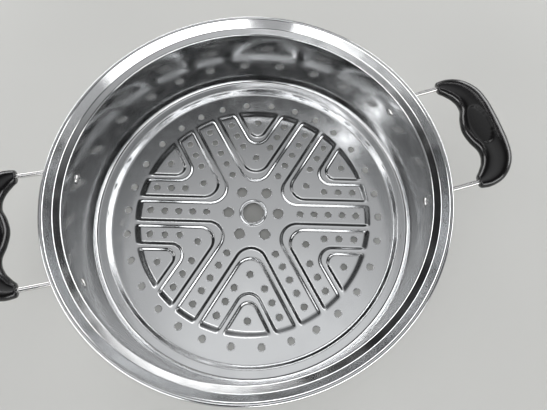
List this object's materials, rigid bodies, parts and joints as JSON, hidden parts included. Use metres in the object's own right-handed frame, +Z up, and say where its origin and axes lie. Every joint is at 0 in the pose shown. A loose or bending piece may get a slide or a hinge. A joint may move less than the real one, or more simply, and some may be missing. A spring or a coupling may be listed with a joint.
{
  "type": "stackable steamer tier",
  "caption": "Round stackable stovetop steamer tier: drawn stainless shell, perforated and embossed base with a stacking spigot, rolled rim, and two moulded grips riveted on by wire legs.",
  "frame": {"origin": "middle of the flat ring under the base that the tier rests on", "axes": "+Z up, +X through the middle of the two grips, +Y away from the front"},
  "size_m": [0.4362, 0.327, 0.1009],
  "materials": {
    "shell_steel": "polished stainless sheet",
    "wire_steel": "polished stainless wire",
    "rivet_steel": "polished stainless",
    "grip_phenolic": "glossy moulded phenolic"
  },
  "bodies": {
    "root": {"tier_shell": "shell_steel", "right_grip": "grip_phenolic", "left_grip": "grip_phenolic", "right_front_leg": "wire_steel", "right_front_rivet": "rivet_steel", "right_rear_leg": "wire_steel", "right_rear_rivet": "rivet_steel", "left_front_leg": "wire_steel", "left_front_rivet": "rivet_steel", "left_rear_leg": "wire_steel", "left_rear_rivet": "rivet_steel"}
  },
  "joints": []
}
